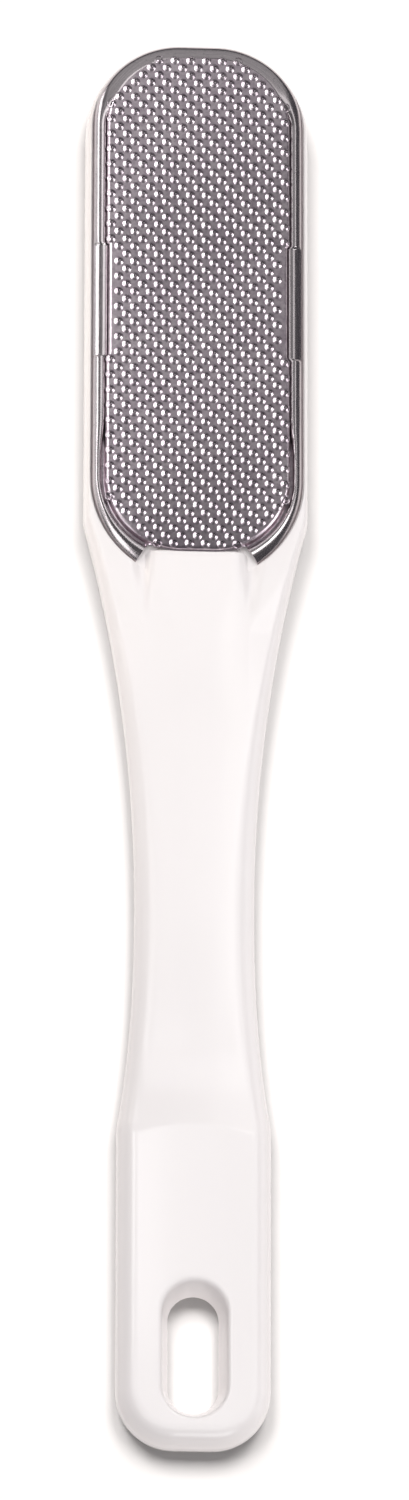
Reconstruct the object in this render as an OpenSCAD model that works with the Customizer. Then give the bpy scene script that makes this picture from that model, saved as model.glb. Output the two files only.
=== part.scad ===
// Foot file: a two-shell grip with a pierced steel rasp plate in a bent steel frame on the front of its head
// and a fine emery sheet on the back. It lies on its back: +Y runs to the head, +Z is the rasp side, and the
// origin is under the middle of the part, on the surface that it rests on.

/* [Handle] */
// Overall length, from the end of the grip to the tip of the head
overall_l = 257; // [235:1:280]
// Width of the grip
grip_w = 27; // [25:0.5:30]
// Length of the thick grip, from its end to the start of the neck
grip_l = 57; // [50:1:62]
// Thickness of the grip, front to back
grip_t = 10; // [9:0.5:12]
// Corner radius of the grip's end, seen from the front
grip_end_r = 10.2; // [7:0.2:12]
// Width of the neck where it is narrowest
neck_w = 21.1; // [18:0.5:24]
// Distance from the grip's end to the narrowest place of the neck
neck_y = 97; // [85:1:110]
// Thickness of the neck, front to back
neck_t = 7.6; // [7:0.2:9]
// Width of the edge rounding along the grip
grip_round = 3.8; // [3:0.1:4.5]
// Width of the edge rounding along the neck
neck_round = 5.6; // [4:0.1:6.5]

/* [Head] */
// Width of the head
head_w = 39.8; // [38.6:0.2:44]
// Length of the straight head, from the shoulder to the tip
head_l = 89.5; // [86:0.5:92]
// Width of the straight edge at the head's tip, between its corner arcs
head_flat = 6.2; // [4:0.2:10]
// Width of the edge rounding along the head
head_round = 1.6; // [1.2:0.1:2]
// How far the head's back lies inside the grip's back
back_relief = 0.3; // [0.2:0.05:0.5]

/* [Shells] */
// Side wall of both shells
wall = 2; // [1.6:0.1:2.4]
// Front and back wall of both shells
floor_t = 2.4; // [2.2:0.1:2.8]
// Thickness of the cross ribs
rib_t = 1.2; // [0.8:0.1:1.6]
// Diameter of a locating peg on the rear shell
peg_d = 3; // [2.4:0.2:3.4]
// How far a peg stands above the parting plane
peg_h = 2; // [1.4:0.1:2.2]
// Outer diameter of the socket that takes a peg
socket_d = 6; // [5.4:0.2:7]
// Free space round a peg in its socket
peg_gap = 0.1; // [0.05:0.05:0.2]

/* [Hang slot] */
// Width of the slot at its throat, halfway through the grip
slot_w = 8.9; // [7:0.1:10]
// Length of the slot at its throat
slot_l = 20.8; // [16:0.2:26]
// Distance from the grip's end to the slot's throat
slot_end = 6.4; // [5.6:0.2:9]
// How much the slot widens on every side, from its throat to the front or the back
slot_flare = 1.45; // [0.6:0.05:2]

/* [Rasp plate] */
// Length of the raised rasp field
plate_l = 92.6; // [88:0.2:93]
// Width of the field's straight edges at its two ends, between the corner arcs
plate_flat = 5.9; // [4:0.1:10]
// Thickness of the steel sheet
sheet_t = 0.4; // [0.3:0.05:0.5]
// Height of the rasp field above the head's face
plate_rise = 1.4; // [1.1:0.05:1.8]
// Width of the foot flange that runs out under the frame
flange_w = 1.2; // [1:0.05:1.4]
// Width of the flange that shows between the plate's wall and the frame
flange_show = 0.55; // [0.3:0.05:0.7]
// Distance between neighbouring teeth along the diagonals
tooth_pitch = 2; // [1.8:0.1:2.6]
// Diameter of a tooth at its root, inside the sheet
tooth_d = 1.4; // [1.2:0.05:1.7]
// Diameter of a tooth at its tip
tooth_tip_d = 0.9; // [0.5:0.05:1]
// Height of a tooth
tooth_h = 0.5; // [0.3:0.05:0.7]

/* [Frame] */
// Width of the frame across its outer edges
frame_w = 37.7; // [37:0.1:38.2]
// Width of the bent strip along the frame's sides
strip_w = 1.95; // [1.8:0.05:2.6]
// Width of the frame's straight edge at the tip of the head, between its corner arcs
frame_flat = 6.3; // [4:0.1:10]
// Distance from the frame's outer edge to the tip of the head
frame_margin = 1.2; // [1:0.1:1.6]
// Distance from the frame's outer edge to the plate's end, at the tip of the head
plate_margin = 1.9; // [1.6:0.1:2.2]
// Angle at which the frame's two ends are cut, from the handle's axis
frame_cut = 35; // [33:1:50]
// Height of the frame's crest above the head's face
frame_rise = 0.9; // [0.6:0.05:1.1]
// Depth of the trough that holds the frame and the plate's flange
trough_depth = 0.8; // [0.6:0.05:1]
// Width of the tongue that parts the frame's two ends
tongue_w = 17.4; // [14:0.2:20]
// Length of the tongue's ramp down to the neck
tongue_l = 34; // [24:1:44]
// Height of the tongue above the head's face
tongue_rise = 0.7; // [0.4:0.05:0.9]
// Length of the pinched stretch at the middle of each long side
pinch_l = 21; // [16:0.5:26]
// Depth of the pinch
pinch_d = 0.4; // [0.2:0.05:0.5]

/* [Back sheet] */
// Thickness of the emery cloth
emery_t = 0.7; // [0.5:0.05:0.9]
// Thickness of the adhesive film under the emery cloth
film_t = 0.2; // [0.1:0.05:0.3]
// Width of the emery cloth
emery_w = 33; // [30:0.5:34]
// Length of the emery cloth
emery_l = 84; // [76:1:85]
// Corner radius of the emery cloth
emery_r = 13; // [8:0.5:15]
// Free space round the emery cloth in its recess
emery_gap = 0.2; // [0.1:0.05:0.4]

/* [Hidden] */
$fn = 64;

// Free space between fitted pieces, and how far a cut runs past what it cuts
fit = 0.1;
overrun = 1;

// Heights: the parting plane of the shells, the head's face, the rasp field and the trough round it
part_z = grip_t / 2;
face_z = grip_t;
plate_top = face_z + plate_rise;
trough_z = face_z - trough_depth;

// The rasp field lies inside the frame, and the corner arcs take what a straight end leaves of the width
plate_w = frame_w - 2 * (strip_w + flange_show);
plate_r = (plate_w - plate_flat) / 2;
frame_r = (frame_w - frame_flat) / 2;
head_r = (head_w - head_flat) / 2;

// Places along the handle
shoulder_y = overall_l - head_l;
frame_top = overall_l - frame_margin;
plate_y1 = frame_top - plate_margin;
plate_y0 = plate_y1 - plate_l;
plate_mid = (plate_y0 + plate_y1) / 2;
frame_end_y = plate_y0 + plate_r;
emery_mid = shoulder_y + head_l / 2;

// Outline of the handle: its rounded end, its easing into the neck, its spread into the head, its rounded tip
end_steps = 8;
side_steps = 38;
cap_cols = 8;
neck_ease_power = 2.4;
spread_power = 2;

function clamp01(t) = max(0, min(1, t));
function mix(a, b, t) = a + (b - a) * t;
function ease_out(t, p) = 1 - pow(1 - clamp01(t), p);
function half_width(y) =
    y < grip_l ? grip_w / 2
    : y < neck_y ? mix(grip_w, neck_w, ease_out((y - grip_l) / (neck_y - grip_l), neck_ease_power)) / 2
    : mix(neck_w, head_w, pow(clamp01((y - neck_y) / (shoulder_y - neck_y)), spread_power)) / 2;

outline = concat(
    [for (i = [0 : end_steps - 1]) let (a = 90 * i / end_steps)
        [grip_w / 2 - grip_end_r * (1 - sin(a)), grip_end_r * (1 - cos(a))]],
    [for (i = [0 : side_steps]) let (y = mix(grip_end_r, shoulder_y, i / side_steps)) [half_width(y), y]],
    [for (i = [0 : end_steps]) let (a = 90 * i / end_steps)
        [head_w / 2 - head_r * (1 - cos(a)), overall_l - head_r * (1 - sin(a))]]);
stations = len(outline);
function chord(i) = outline[min(i + 1, stations - 1)] - outline[max(i - 1, 0)];
function inward(i) =
    i == 0 ? [0, 1]
    : i == stations - 1 ? [0, -1]
    : let (c = chord(i)) [-c[1], c[0]] / norm(c);

// Height of a shell over the parting plane: the neck's share of it eases in after the grip and out to the head
grip_ease_share = 0.13;
head_ease_share = 0.75;
function neck_share(y) = min(
    ease_out((y - grip_l) / (grip_ease_share * (shoulder_y - grip_l)), spread_power),
    1 - pow(clamp01((y - neck_y) / (head_ease_share * (shoulder_y - neck_y))), spread_power));
function head_share(y) = clamp01((y - neck_y) / (shoulder_y - neck_y));
function rounding(y) =
    y < neck_y ? mix(grip_round, neck_round, ease_out((y - grip_l) / (neck_y - grip_l), spread_power))
    : mix(neck_round, head_round, head_share(y));
function height(y, relief) =
    mix(grip_t / 2, neck_t / 2, clamp01(neck_share(y))) - relief * head_share(y);

// Edge rounding as a flattened quarter ellipse, from the parting plane to the face
edge_shares = [0, 0.04, 0.14, 0.3, 0.52, 0.76, 1];
edge_power = 2.2;
function edge_rise(share) = pow(1 - pow(1 - share, edge_power), 1 / edge_power);

// Half of the handle's body on one side of the parting plane, drawn in by a wall and thinned by a floor
module half_body(side_wall, face_floor, relief) {
    rings = len(edge_shares);
    function ring_point(i, k) =
        let (y = outline[i][1], d = side_wall + (rounding(y) - side_wall / 2) * edge_shares[k],
            p = outline[i] + inward(i) * d)
        [p[0], p[1], (height(y, relief) - face_floor) * edge_rise(edge_shares[k])];
    function across(p, j) = [p[0] * (1 - 2 * j / cap_cols), p[1], p[2]];
    loop_size = 2 * (stations + cap_cols - 1);
    ring_list = [for (k = [0 : rings - 1]) concat(
        [for (i = [0 : stations - 1]) ring_point(i, k)],
        [for (j = [1 : cap_cols - 1]) across(ring_point(stations - 1, k), j)],
        [for (i = [stations - 1 : -1 : 0]) across(ring_point(i, k), cap_cols)],
        [for (j = [cap_cols - 1 : -1 : 1]) across(ring_point(0, k), j)])];
    cap_list = [for (i = [1 : stations - 2]) for (j = [1 : cap_cols - 1]) across(ring_point(i, rings - 1), j)];
    points = concat([for (r = ring_list) for (p = r) p], cap_list);
    function at(k, n) = k * loop_size + (n + loop_size) % loop_size;
    function cap(i, j) =
        j == 0 ? at(rings - 1, i)
        : j == cap_cols ? at(rings - 1, 2 * stations + cap_cols - 2 - i)
        : i == 0 ? at(rings - 1, loop_size - j)
        : i == stations - 1 ? at(rings - 1, stations - 1 + j)
        : rings * loop_size + (i - 1) * (cap_cols - 1) + j - 1;
    faces = concat(
        [[for (n = [0 : loop_size - 1]) n]],
        [for (k = [0 : rings - 2]) for (n = [0 : loop_size - 1]) for (f = [
            [at(k, n), at(k + 1, n), at(k, n + 1)],
            [at(k, n + 1), at(k + 1, n), at(k + 1, n + 1)]]) f],
        [for (i = [0 : stations - 2]) for (j = [0 : cap_cols - 1]) for (f = [
            [cap(i, j), cap(i, j + 1), cap(i + 1, j)],
            [cap(i, j + 1), cap(i + 1, j + 1), cap(i + 1, j)]]) f]);
    polyhedron(points, faces);
}

// Rounded rectangle by its width, its two ends and its corner radius
module rounded_plan(w, y0, y1, r) {
    translate([-w / 2, y0 + r]) square([w, y1 - y0 - 2 * r]);
    translate([r - w / 2, y0]) square([w - 2 * r, y1 - y0]);
    for (x = [r - w / 2, w / 2 - r]) for (y = [y0 + r, y1 - r]) translate([x, y]) circle(r);
}

// The slot opens from its throat at the parting plane towards a face
module slot_half(grow) {
    depth = part_z + overrun;
    flare = slot_flare * depth / part_z;
    throat_r = slot_w / 2 + grow;
    hull() for (y = [slot_end + slot_w / 2, slot_end + slot_l - slot_w / 2])
        translate([0, y, -fit]) cylinder(depth + fit, throat_r, throat_r + flare, $fn = 32);
}

// Places of the locating pegs, as shares of the length and of half the width there
peg_shares = [[0.155, 0.45], [0.3, 0], [0.42, 0], [0.54, 0], [0.69, 0.6], [0.925, 0.5]];
peg_places = [for (s = peg_shares) let (y = s[0] * overall_l) for (side = s[1] > 0 ? [-1, 1] : [0])
    [side * s[1] * half_width(y), y]];
// Places of the cross ribs, as shares of the length
rib_shares = [0.14, 0.22, 0.34, 0.46, 0.58, 0.66, 0.74, 0.82, 0.9];

module ribs() {
    for (s = rib_shares) let (x = head_w / 2)
        hull() for (side = [-1, 1]) translate([side * x, s * overall_l, 0]) cylinder(part_z, d = rib_t, $fn = 16);
}

// The hollow of one shell, left round the slot, the ribs and the sockets
module shell_hollow(relief) {
    difference() {
        translate([0, 0, -fit]) half_body(wall, floor_t - fit, relief);
        slot_half(wall);
        ribs();
        for (p = peg_places) translate(p) cylinder(part_z, d = socket_d, $fn = 32);
    }
}

// Outline of the frame's outer edge: its lower bend is a half circle as wide as the frame
module frame_plan(grow) {
    hull() {
        for (side = [-1, 1]) translate([side * (frame_w / 2 - frame_r), frame_top - frame_r]) circle(frame_r + grow);
        translate([0, frame_end_y]) circle(frame_w / 2 + grow);
    }
}

// Outline of the plate's wall, drawn in evenly, with the pinch of both long sides
module pinched_plan(inset) {
    difference() {
        rounded_plan(plate_w - 2 * inset, plate_y0 + inset, plate_y1 - inset, plate_r - inset);
        for (side = [-1, 1])
            translate([side * (plate_w / 2 - inset) - pinch_d, plate_mid - pinch_l / 2 - inset])
                square([2 * pinch_d, pinch_l + 2 * inset]);
    }
}

// The plinth fills the plate from inside
module plinth_plan() {
    pinched_plan(sheet_t + fit);
}

// The tongue that carries the grip's surface up to the plate, between the frame's ends
tongue_round = 1.2;
module tongue() {
    x = tongue_w / 2 - tongue_round;
    near = plate_y0 - tongue_round - fit;
    tips = [[x, near, face_z + tongue_rise - tongue_round], [x, near, part_z + floor_t],
        [x, plate_y0 - tongue_l, part_z + height(plate_y0 - tongue_l, 0) - tongue_round - fit]];
    hull() for (p = tips) for (side = [-1, 1]) translate([side * p[0], p[1], p[2]]) sphere(tongue_round, $fn = 16);
}

// The trough runs out into the neck beside the tongue, from each end of the frame
module trough_run_out() {
    x = tongue_w / 2 + tongue_round;
    for (side = [-1, 1]) hull() {
        translate([side * x, plate_y0 - tongue_round, face_z]) sphere(trough_depth, $fn = 16);
        translate([side * (x - tongue_round), plate_y0 - tongue_l / 2, face_z]) sphere(fit, $fn = 8);
    }
}

module front_shell() color("whitesmoke") place() {
    difference() {
        union() {
            translate([0, 0, part_z]) half_body(0, 0, 0);
            tongue();
            translate([0, 0, part_z + floor_t]) linear_extrude(plate_top - sheet_t - part_z - floor_t) plinth_plan();
        }
        translate([0, 0, part_z]) shell_hollow(0);
        translate([0, 0, part_z]) slot_half(0);
        for (p = peg_places) translate([p[0], p[1], part_z - overrun])
            cylinder(peg_h + fit + overrun, d = peg_d + 2 * peg_gap, $fn = 32);
        translate([0, 0, trough_z]) linear_extrude(plate_rise + trough_depth) difference() {
            frame_plan(fit);
            plinth_plan();
            translate([-tongue_w / 2, 0]) square([tongue_w, plate_y0 - fit]);
        }
        trough_run_out();
    }
}

module rear_shell() color("white") place() {
    difference() {
        translate([0, 0, part_z]) mirror([0, 0, 1]) half_body(0, 0, back_relief);
        translate([0, 0, part_z]) mirror([0, 0, 1]) shell_hollow(back_relief);
        translate([0, 0, part_z]) mirror([0, 0, 1]) slot_half(0);
        translate([0, 0, -overrun]) linear_extrude(overrun + emery_t + film_t)
            rounded_plan(emery_w + 2 * emery_gap, emery_mid - emery_l / 2 - emery_gap,
                emery_mid + emery_l / 2 + emery_gap, emery_r + emery_gap);
    }
    for (p = peg_places) translate([p[0], p[1], floor_t]) cylinder(part_z + peg_h - floor_t, d = peg_d, $fn = 32);
}

// One tooth is a cone with a cut tip, in place of the burr that is pushed up out of the sheet
module tooth() {
    translate([0, 0, -sheet_t / 2]) cylinder(tooth_h + sheet_t / 2, tooth_d / 2, tooth_tip_d / 2);
}

// The teeth stand in diagonal rows, wherever the whole root fits inside the field's outline
row_step = tooth_pitch / sqrt(2);
column_step = tooth_pitch * sqrt(2);
tooth_rows = floor((plate_l - tooth_d) / 2 / row_step);
tooth_columns = ceil(plate_w / 2 / column_step);
function past_corner(x, y) =
    x > plate_w / 2 - plate_r && y > plate_l / 2 - plate_r
    && norm([x - plate_w / 2 + plate_r, y - plate_l / 2 + plate_r]) + tooth_d / 2 > plate_r;
function past_side(x, y) =
    x + tooth_d / 2 > plate_w / 2 - (y - tooth_d / 2 < pinch_l / 2 ? pinch_d : 0);
function in_field(x, y) = !past_corner(x, y) && !past_side(x, y);

module rasp_plate() color("silver") place() {
    // Raised field with its walls
    translate([0, 0, trough_z]) difference() {
        linear_extrude(plate_top - trough_z) pinched_plan(0);
        translate([0, 0, -overrun]) linear_extrude(plate_top - trough_z - sheet_t + overrun)
            pinched_plan(sheet_t);
    }
    // Foot flange, left out under the tongue
    translate([0, 0, trough_z]) linear_extrude(sheet_t) difference() {
        rounded_plan(plate_w + 2 * flange_w, plate_y0 - flange_w, plate_y1 + flange_w, plate_r + flange_w);
        pinched_plan(sheet_t / 2);
        translate([-tongue_w / 2 - fit, plate_y0 - flange_w - overrun])
            square([tongue_w + 2 * fit, flange_w + overrun + fit]);
    }
    for (j = [-tooth_rows : tooth_rows]) for (i = [-tooth_columns : tooth_columns])
        let (x = (i + (j % 2 == 0 ? 1 / 2 : 0)) * column_step, y = j * row_step)
            if (in_field(abs(x), abs(y))) translate([x, plate_mid + y, plate_top]) tooth();
}

// Section of the frame's bent strip, from its inner foot over the crest to its outer leg and back inside.
// Each share pair is a share of the strip's width and a share of its height over the plate's flange.
strip_outer_shares = [[0, 0], [0.02, 0.35], [0.12, 0.72], [0.3, 0.95], [0.5, 1], [0.7, 0.92], [0.88, 0.7], [1, 0.35]];
strip_inner_shares = [[0.78, 0.3], [0.7, 0.55], [0.5, 0.67], [0.3, 0.6], [0.2, 0.3], [0.2, 0]];
leg_share = 0.22;
flange_top = trough_z + sheet_t;
crest_z = face_z + frame_rise;
strip_section = concat(
    [for (s = strip_outer_shares) [s[0], mix(flange_top, crest_z, s[1])]],
    [[1, trough_z], [1 - leg_share, trough_z]],
    [for (s = strip_inner_shares) [s[0], mix(flange_top, crest_z, s[1])]]);

// Path of the frame: each station of the right half is its inner point and its outer point.
// The inner edge follows the plate's wall, and it steps in with it where the long sides are pinched.
bend_steps = 12;
pinch_step = 0.5;
inner_w = plate_w + 2 * flange_show;
inner_r = plate_r + flange_show;
inner_cut = asin((tongue_w / 2 + fit - inner_w / 2 + inner_r) / inner_r);
pinch_ends = [for (end = [-1, 1]) plate_mid + end * pinch_l / 2];
frame_half = concat(
    [for (i = [0 : bend_steps]) let (a = mix(inner_cut, 90, i / bend_steps), b = mix(frame_cut, 90, i / bend_steps))
        [[inner_w / 2 - inner_r * (1 - sin(a)), plate_y0 - flange_show + inner_r * (1 - cos(a))],
            [frame_w / 2 * sin(b), frame_end_y - frame_w / 2 * cos(b)]]],
    [for (p = [[pinch_ends[0] - pinch_step, 0], [pinch_ends[0], pinch_d], [pinch_ends[1], pinch_d],
            [pinch_ends[1] + pinch_step, 0]])
        [[inner_w / 2 - p[1], p[0]], [frame_w / 2, p[0]]]],
    [for (i = [0 : bend_steps]) let (a = 90 * i / bend_steps)
        [[inner_w / 2 - inner_r * (1 - cos(a)), plate_y1 + flange_show - inner_r * (1 - sin(a))],
            [frame_w / 2 - frame_r * (1 - cos(a)), frame_top - frame_r * (1 - sin(a))]]]);
function flip(station) = [for (p = station) [-p[0], p[1]]];
frame_path = concat(frame_half, [for (i = [len(frame_half) - 1 : -1 : 0]) flip(frame_half[i])]);

// A strip with one closed section, swept along a list of stations
module strip(path, section) {
    n = len(section);
    last = len(path) - 1;
    points = [for (p = path) for (s = section)
        [mix(p[0][0], p[1][0], s[0]), mix(p[0][1], p[1][1], s[0]), s[1]]];
    faces = concat(
        [[for (k = [n - 1 : -1 : 0]) k], [for (k = [0 : n - 1]) last * n + k]],
        [for (i = [0 : last - 1]) for (k = [0 : n - 1]) let (a = i * n + k, b = i * n + (k + 1) % n)
            for (f = [[a, b, a + n], [b, b + n, a + n]]) f]);
    polyhedron(points, faces);
}

module rasp_frame() color("gainsboro") place() strip(frame_path, strip_section);

module emery_sheet() color("dimgray") place() {
    linear_extrude(emery_t)
        rounded_plan(emery_w, emery_mid - emery_l / 2, emery_mid + emery_l / 2, emery_r);
}

module adhesive_film() color("khaki") place() {
    translate([0, 0, emery_t]) linear_extrude(film_t)
        rounded_plan(emery_w, emery_mid - emery_l / 2, emery_mid + emery_l / 2, emery_r);
}

module place() {
    translate([0, -overall_l / 2, 0]) children();
}

front_shell();
rear_shell();
rasp_plate();
rasp_frame();
emery_sheet();
adhesive_film();
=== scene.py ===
"""Foot file: a glossy white handle of two moulded shells, with a pierced steel rasp in a bent steel frame on
its front and an emery cloth on its back."""

import math

import bmesh
import bpy
import numpy as np
from mathutils import Matrix, Vector


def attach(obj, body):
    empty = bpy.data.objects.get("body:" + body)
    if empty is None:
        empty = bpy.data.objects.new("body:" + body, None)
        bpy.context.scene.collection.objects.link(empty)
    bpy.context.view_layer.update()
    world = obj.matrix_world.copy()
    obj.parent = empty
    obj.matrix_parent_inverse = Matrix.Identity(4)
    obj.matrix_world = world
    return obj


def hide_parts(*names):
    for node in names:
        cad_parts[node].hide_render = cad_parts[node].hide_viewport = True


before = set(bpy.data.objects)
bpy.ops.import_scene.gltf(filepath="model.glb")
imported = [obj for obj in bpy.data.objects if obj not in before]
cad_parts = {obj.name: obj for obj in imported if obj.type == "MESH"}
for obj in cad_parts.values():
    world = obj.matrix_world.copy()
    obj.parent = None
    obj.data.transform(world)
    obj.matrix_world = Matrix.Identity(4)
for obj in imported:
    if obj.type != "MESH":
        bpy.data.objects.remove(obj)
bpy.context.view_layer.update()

# Sizes in millimetres, as the solid model has them. Y runs from the end of the grip to the tip of the head.
# In the names, W is a width, L a length, R a radius, T a thickness, Y a place along and Z a height.
MM = 0.001
OVERALL = 257.0

# The shells: outline, heights, and the width of their rounded edges
GRIP_W, GRIP_L, GRIP_T, GRIP_END_R = 27.0, 57.0, 10.0, 10.2
NECK_W, NECK_Y, NECK_T = 21.1, 97.0, 7.6
HEAD_W, SHOULDER_Y, HEAD_R, HEAD_TIP = 39.8, 167.5, 16.8, 256.6
PART_Z, FACE_Z, BACK_RELIEF = 5.0, 10.0, 0.3
GRIP_ROUND, NECK_ROUND, HEAD_ROUND, TIP_ROUND = 3.8, 5.2, 1.0, 1.8
TIP_Y = 241.0

# The hang slot, and the trough that the frame lies in
SLOT_W, SLOT_L, SLOT_END, SLOT_FLARE = 8.9, 20.8, 6.4, 1.45
TROUGH_Z, TROUGH_GAP = 9.2, 0.15

# The rasp plate, whose sides are drawn in a little over a stretch at its middle
PLATE_W, PLATE_Y0, PLATE_Y1, PLATE_R, PLATE_TOP = 32.7, 161.3, 253.9, 13.4, 11.4
PLATE_MID = (PLATE_Y0 + PLATE_Y1) / 2
FLANGE_SHOW, FLANGE_TOP = 0.55, 9.6
PINCH_L, PINCH_D, PINCH_RAMP = 21.0, 0.4, 0.5

# The bent frame, and the angle round its outer arc at which its cut ends begin, in degrees
FRAME_W, FRAME_R, FRAME_TOP, CREST_Z = 37.7, 15.7, 255.9, 10.9
FRAME_END_Y, FRAME_CUT = PLATE_Y0 + PLATE_R, 35.0

# The tongue that runs up to the plate out of the neck
TONGUE_W, TONGUE_L, TONGUE_RISE = 17.4, 34.0, 0.7
TONGUE_Y, TONGUE_SIDE = PLATE_Y0 - TONGUE_L, TONGUE_W / 2 + 0.3

# The emery cloth and the film that holds it
EMERY_W, EMERY_L, EMERY_R, EMERY_T, EMERY_MID, FILM_T = 33.0, 84.0, 13.0, 0.7, 212.25, 0.2
EMERY_GAP = 0.2


# Small maths

def clamp(t):
    return np.clip(t, 0.0, 1.0)


def mix(a, b, t):
    return a + (b - a) * t


def between(place, start, end):
    """0 up to start and 1 from end on, straight in between."""
    return clamp((place - start) / (end - start))


def smooth(t):
    t = clamp(t)
    return t * t * (3 - 2 * t)


def ease_out(t, power):
    return 1 - (1 - clamp(t)) ** power


# How sharply the neck narrows, and over which shares of the way to the shoulder it gets thin and thick again
NARROWING, THIN_SHARE, THICK_SHARE = 2.4, 0.13, 0.75


def half_width(y):
    """Half the handle's width: an even grip, a neck that narrows, and the spread to the head."""
    grip = np.full_like(y, GRIP_W / 2)
    neck = mix(GRIP_W, NECK_W, ease_out(between(y, GRIP_L, NECK_Y), NARROWING)) / 2
    spread = mix(NECK_W, HEAD_W, between(y, NECK_Y, SHOULDER_Y) ** 2) / 2
    return np.where(y < GRIP_L, grip, np.where(y < NECK_Y, neck, spread))


def neck_share(y):
    """How far the handle has gone from the grip's thickness to the neck's."""
    leave = ease_out((y - GRIP_L) / (THIN_SHARE * (SHOULDER_Y - GRIP_L)), 2)
    back = 1 - clamp((y - NECK_Y) / (THICK_SHARE * (SHOULDER_Y - NECK_Y))) ** 2
    return clamp(np.minimum(leave, back))


def rounding(y):
    """Width of the rounded edge."""
    low = mix(GRIP_ROUND, NECK_ROUND, ease_out(between(y, GRIP_L, NECK_Y), 2))
    high = mix(NECK_ROUND, HEAD_ROUND, between(y, NECK_Y, SHOULDER_Y))
    high = high + (TIP_ROUND - HEAD_ROUND) * smooth(between(y, TIP_Y, TIP_Y + 10))
    return np.where(y < NECK_Y, low, high)


# The rounded edge is a little fuller than a quarter circle
FULLNESS = 2.2


def edge_rise(share):
    return (1 - (1 - share) ** FULLNESS) ** (1 / FULLNESS)


def steps(start, *spans):
    """Places from start on; each span gives its end and its step."""
    places = [start]
    for end, step in spans:
        count = max(1, math.ceil((end - places[-1]) / step - 1e-9))
        places += list(np.linspace(places[-1], end, count + 1)[1:])
    return np.array(places)


# Node wiring

class Value:
    """An output socket that takes part in sums."""

    def __init__(self, wiring, socket):
        self.wiring, self.socket = wiring, socket

    def out(self, name):
        return Value(self.wiring, self.socket.node.outputs[name])

    def math(self, operation, *terms):
        return self.wiring.add("ShaderNodeMath", {"operation": operation}, terms)

    def __add__(self, other):
        return self.math("ADD", self, other)

    def __radd__(self, other):
        return self.math("ADD", other, self)

    def __sub__(self, other):
        return self.math("SUBTRACT", self, other)

    def __rsub__(self, other):
        return self.math("SUBTRACT", other, self)

    def __mul__(self, other):
        return self.math("MULTIPLY", self, other)

    def __rmul__(self, other):
        return self.math("MULTIPLY", other, self)

    def __truediv__(self, other):
        return self.math("DIVIDE", self, other)

    def __mod__(self, other):
        return self.math("FLOORED_MODULO", self, other)

    def __abs__(self):
        return self.math("ABSOLUTE", self)

    def __lt__(self, other):
        return self.math("LESS_THAN", self, other)

    def __gt__(self, other):
        return self.math("GREATER_THAN", self, other)

    def floor(self):
        return self.math("FLOOR", self)


class Wiring:
    """A node tree. One call adds a node, from its type, its settings and its inputs' values or links."""

    def __init__(self, tree):
        self.tree = tree

    def add(self, kind, settings=None, inputs=(), out=0):
        node = self.tree.nodes.new(kind)
        for name, setting in (settings or {}).items():
            if name == "stops":
                ramp = node.color_ramp
                while len(ramp.elements) < len(setting):
                    ramp.elements.new(0.5)
                for element, (place, tone) in zip(ramp.elements, setting):
                    element.position, element.color = place, (*tone, 1)
            else:
                setattr(node, name, setting)
        pairs = inputs.items() if isinstance(inputs, dict) else enumerate(inputs)
        for key, term in pairs:
            if term is None:
                continue
            if isinstance(term, Value):
                self.tree.links.new(term.socket, node.inputs[key])
            else:
                node.inputs[key].default_value = term
        return Value(self, node.outputs[out]) if len(node.outputs) else node

    def blend(self, factor, a, b):
        """Colour a at factor 0, colour b at factor 1."""
        return self.add("ShaderNodeMix", {"data_type": "RGBA"}, {0: factor, 6: a, 7: b}, out=2)

    def ramp(self, factor, *stops):
        return self.add("ShaderNodeValToRGB", {"stops": stops}, {0: factor})

    def remap(self, value, low, high, to_low=0.0, to_high=1.0):
        return self.add("ShaderNodeMapRange", None, {0: value, 1: low, 2: high, 3: to_low, 4: to_high})


class Finish(Wiring):
    """A material with one main shader, in object coordinates."""

    def __init__(self, name, **constants):
        self.material = bpy.data.materials.new(name)
        self.material.use_nodes = True
        super().__init__(self.material.node_tree)
        self.tree.nodes.clear()
        self.shader = self.add("ShaderNodeBsdfPrincipled")
        self.add("ShaderNodeOutputMaterial", None, {"Surface": self.shader})
        for socket, number in constants.items():
            self.shader.socket.node.inputs[socket.replace("_", " ")].default_value = number
        self.place = self.add("ShaderNodeTexCoord").out("Object")

    def set(self, socket, value):
        self.tree.links.new(value.socket, self.shader.socket.node.inputs[socket])

    def stretched(self, scale):
        return self.add("ShaderNodeMapping", None, {"Vector": self.place, "Scale": scale})

    def noise(self, scale, detail=3.0, rough=0.55, at=None):
        inputs = {"Vector": at or self.place, "Scale": scale, "Detail": detail, "Roughness": rough}
        return self.add("ShaderNodeTexNoise", None, inputs)

    def bump(self, height, strength, distance, under=None):
        inputs = {"Strength": strength, "Distance": distance, "Height": height, "Normal": under}
        return self.add("ShaderNodeBump", None, inputs)


# Finishes

def moulded_plastic():
    """Glossy warm white, with faint flow lines along the handle and marks of handling."""
    f = Finish("moulded_plastic", Specular_IOR_Level=0.5, IOR=1.49, Coat_Roughness=0.08, Coat_Weight=0.25)
    drift = f.noise(16.0, 2.0)
    flow = f.noise(1.0, 3.0, 0.6, f.stretched((240.0, 26.0, 240.0)))
    tone = f.blend(drift, (0.915, 0.868, 0.862, 1), (0.94, 0.895, 0.888, 1))
    f.set("Base Color", f.blend(f.remap(flow, 0.45, 0.75, 0.0, 0.15), tone, (0.895, 0.85, 0.85, 1)))
    # Fine scratches along the handle, in patches
    rub = f.noise(1.0, 2.0, 0.5, f.stretched((2600.0, 90.0, 2600.0)))
    lines = f.remap(rub, 0.64, 0.72)
    patches = f.remap(f.noise(55.0, 2.0), 0.45, 0.65)
    f.set("Roughness", 0.20 + 0.05 * drift + 0.04 * (lines * patches))
    fine = f.bump(f.noise(620.0, 1.5, 0.4), 0.10, 0.00004)
    f.set("Normal", f.bump(f.noise(70.0, 1.0, 0.4), 0.10, 0.00030, fine))
    return f.material


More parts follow.
